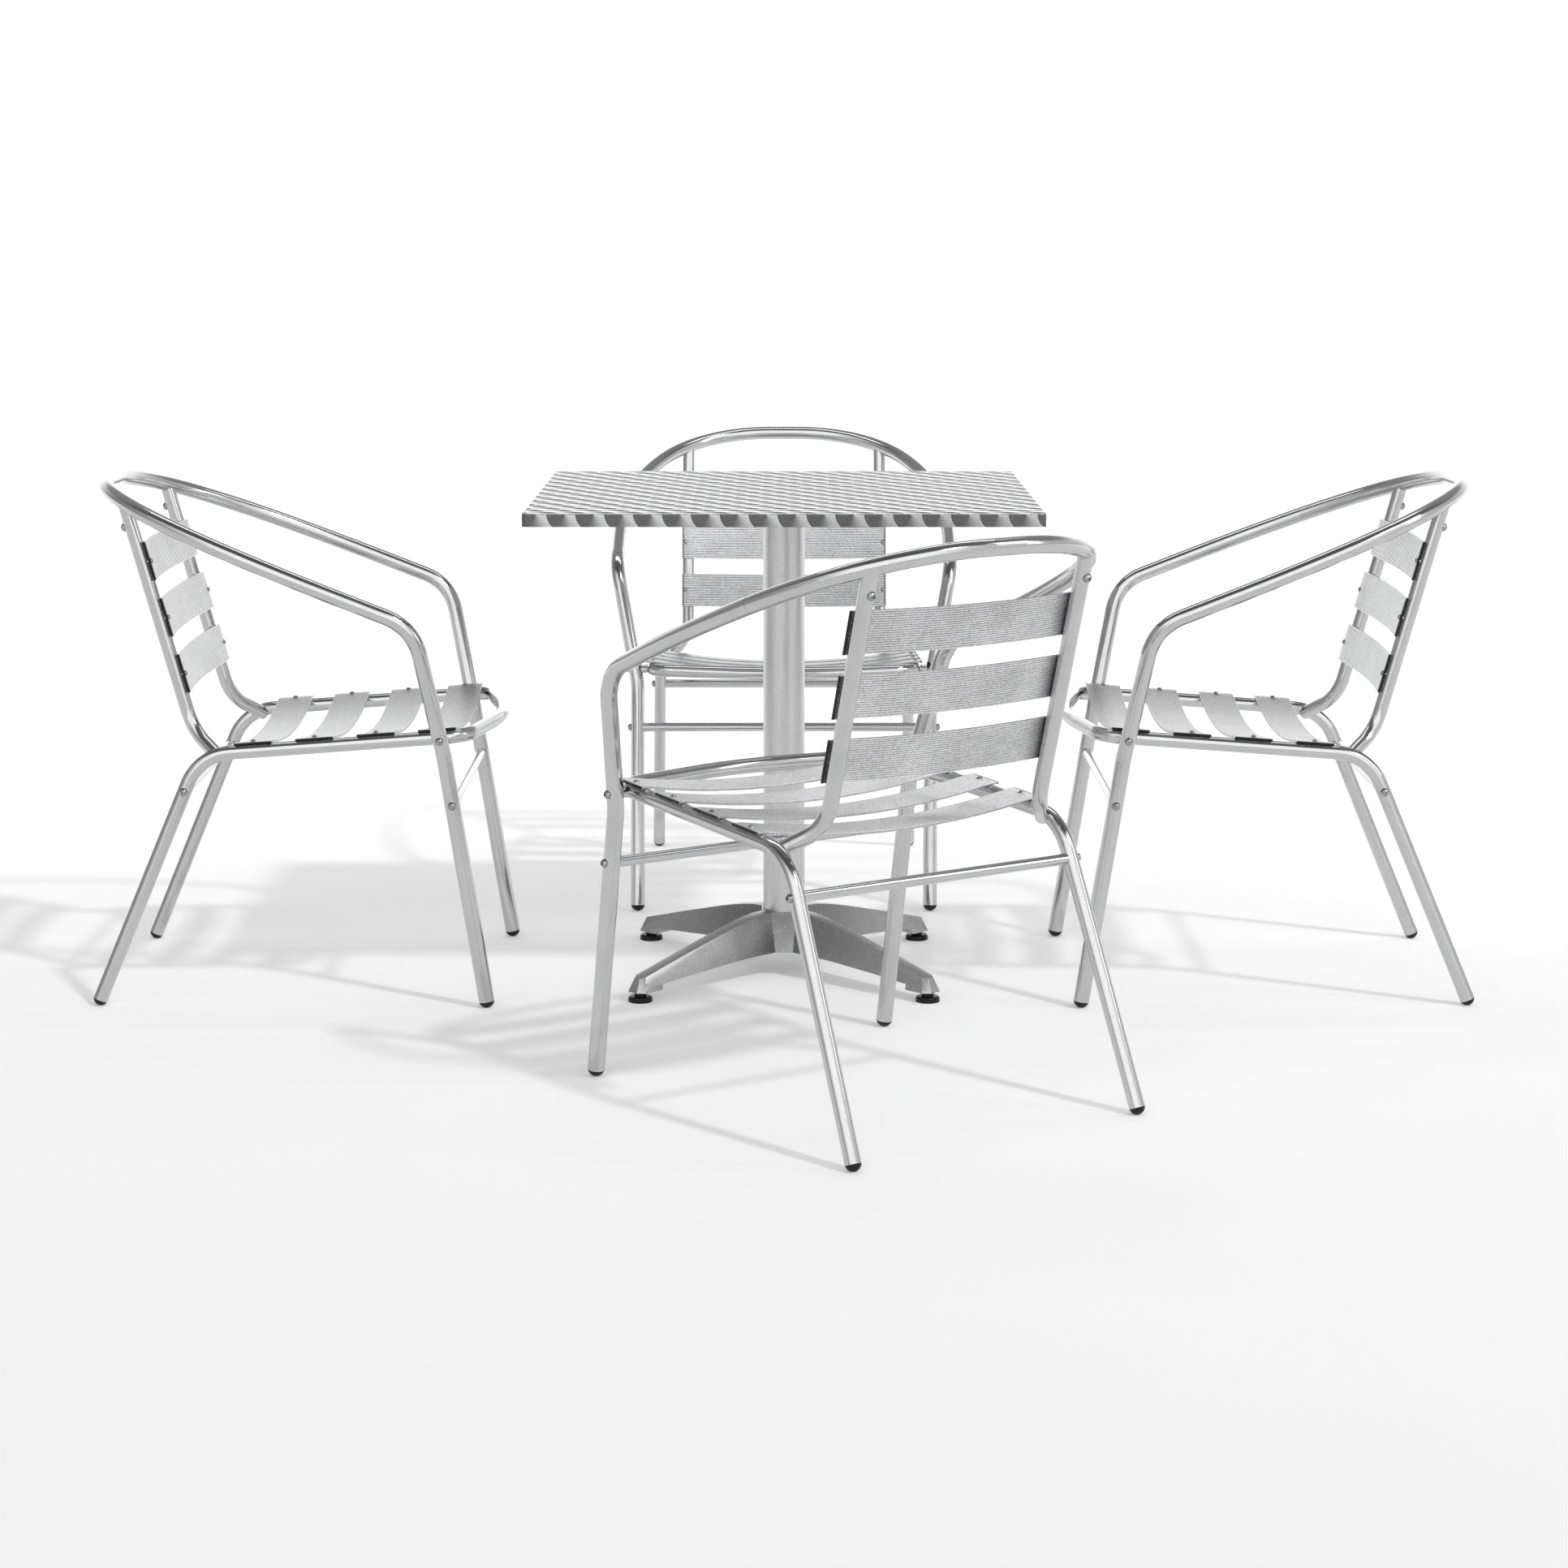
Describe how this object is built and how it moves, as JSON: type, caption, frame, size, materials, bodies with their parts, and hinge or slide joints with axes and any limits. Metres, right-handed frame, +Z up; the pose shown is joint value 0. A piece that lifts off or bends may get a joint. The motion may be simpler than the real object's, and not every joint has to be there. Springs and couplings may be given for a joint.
{
  "type": "patio dining set",
  "caption": "Square metal pedestal table on a four-armed base with levelling glides, and slatted armchairs bent from round tube.",
  "frame": {"origin": "where the table's column axis meets the floor", "axes": "+Z up, +X towards the right chair, +Y towards the back chair; the turned chair stands at -Y"},
  "size_m": [1.9366, 2.0201, 0.7271],
  "materials": {
    "top_sheet_metal": "engine-turned swirl polish",
    "core_board": "raw particle board, hidden",
    "cast_aluminium": "satin casting, fine grain",
    "zinc_steel": "zinc plated",
    "column_aluminium": "brushed lengthwise",
    "tube_aluminium": "polished and anodised",
    "slat_aluminium": "anodised, fine lengthwise ribs",
    "stainless_steel": "plain",
    "black_plastic": "moulded, satin",
    "glide_plastic": "moulded, glossy"
  },
  "bodies": {
    "table": {"tabletop_sheet": "top_sheet_metal", "tabletop_core": "core_board", "top_spider": "cast_aluminium", "spider_screws": "zinc_steel", "column": "column_aluminium", "tie_rod": "zinc_steel", "tie_rod_nut_and_washer": "zinc_steel", "base_casting": "cast_aluminium"},
    "levelling_foot_front_left": {"levelling_foot_front_left": "glide_plastic"},
    "levelling_foot_front_right": {"levelling_foot_front_right": "glide_plastic"},
    "levelling_foot_back_left": {"levelling_foot_back_left": "glide_plastic"},
    "levelling_foot_back_right": {"levelling_foot_back_right": "glide_plastic"},
    "left_chair": {"left_chair_arm_frame": "tube_aluminium", "left_chair_seat_frame": "tube_aluminium", "left_chair_front_stretcher": "tube_aluminium", "left_chair_rear_stretcher": "tube_aluminium", "left_chair_rail_spacers": "tube_aluminium", "left_chair_seat_slats": "slat_aluminium", "left_chair_back_slats": "slat_aluminium", "left_chair_frame_bolts": "stainless_steel", "left_chair_slat_rivets": "stainless_steel", "left_chair_foot_caps": "black_plastic", "left_chair_back_upright_left": "tube_aluminium", "left_chair_back_upright_right": "tube_aluminium"},
    "right_chair": {"right_chair_arm_frame": "tube_aluminium", "right_chair_seat_frame": "tube_aluminium", "right_chair_front_stretcher": "tube_aluminium", "right_chair_rear_stretcher": "tube_aluminium", "right_chair_rail_spacers": "tube_aluminium", "right_chair_seat_slats": "slat_aluminium", "right_chair_back_slats": "slat_aluminium", "right_chair_frame_bolts": "stainless_steel", "right_chair_slat_rivets": "stainless_steel", "right_chair_foot_caps": "black_plastic", "right_chair_back_upright_left": "tube_aluminium", "right_chair_back_upright_right": "tube_aluminium"},
    "back_chair": {"back_chair_arm_frame": "tube_aluminium", "back_chair_seat_frame": "tube_aluminium", "back_chair_front_stretcher": "tube_aluminium", "back_chair_rear_stretcher": "tube_aluminium", "back_chair_rail_spacers": "tube_aluminium", "back_chair_seat_slats": "slat_aluminium", "back_chair_back_slats": "slat_aluminium", "back_chair_frame_bolts": "stainless_steel", "back_chair_slat_rivets": "stainless_steel", "back_chair_foot_caps": "black_plastic", "back_chair_back_upright_left": "tube_aluminium", "back_chair_back_upright_right": "tube_aluminium"},
    "front_chair": {"front_chair_arm_frame": "tube_aluminium", "front_chair_seat_frame": "tube_aluminium", "front_chair_front_stretcher": "tube_aluminium", "front_chair_rear_stretcher": "tube_aluminium", "front_chair_rail_spacers": "tube_aluminium", "front_chair_seat_slats": "slat_aluminium", "front_chair_back_slats": "slat_aluminium", "front_chair_frame_bolts": "stainless_steel", "front_chair_slat_rivets": "stainless_steel", "front_chair_foot_caps": "black_plastic", "front_chair_back_upright_left": "tube_aluminium", "front_chair_back_upright_right": "tube_aluminium"}
  },
  "joints": [
    {"name": "levelling_foot_front_left_screw", "type": "slide", "parent": "table", "child": "levelling_foot_front_left", "axis": [0, 0, -1], "range_m": [0, 0.008]},
    {"name": "levelling_foot_front_right_screw", "type": "slide", "parent": "table", "child": "levelling_foot_front_right", "axis": [0, 0, -1], "range_m": [0, 0.008]},
    {"name": "levelling_foot_back_left_screw", "type": "slide", "parent": "table", "child": "levelling_foot_back_left", "axis": [0, 0, -1], "range_m": [0, 0.008]},
    {"name": "levelling_foot_back_right_screw", "type": "slide", "parent": "table", "child": "levelling_foot_back_right", "axis": [0, 0, -1], "range_m": [0, 0.008]},
    {"name": "left_chair_push_in", "type": "slide", "parent": "table", "child": "left_chair", "axis": [1, 0, 0], "range_m": [-0.3, 0.15]},
    {"name": "right_chair_push_in", "type": "slide", "parent": "table", "child": "right_chair", "axis": [-1, 0, 0], "range_m": [-0.3, 0.15]},
    {"name": "back_chair_push_in", "type": "slide", "parent": "table", "child": "back_chair", "axis": [0, -1, 0], "range_m": [-0.3, 0.15]},
    {"name": "front_chair_push_in", "type": "slide", "parent": "table", "child": "front_chair", "axis": [-0.5736, 0.8192, 0], "range_m": [-0.3, 0.15]}
  ]
}
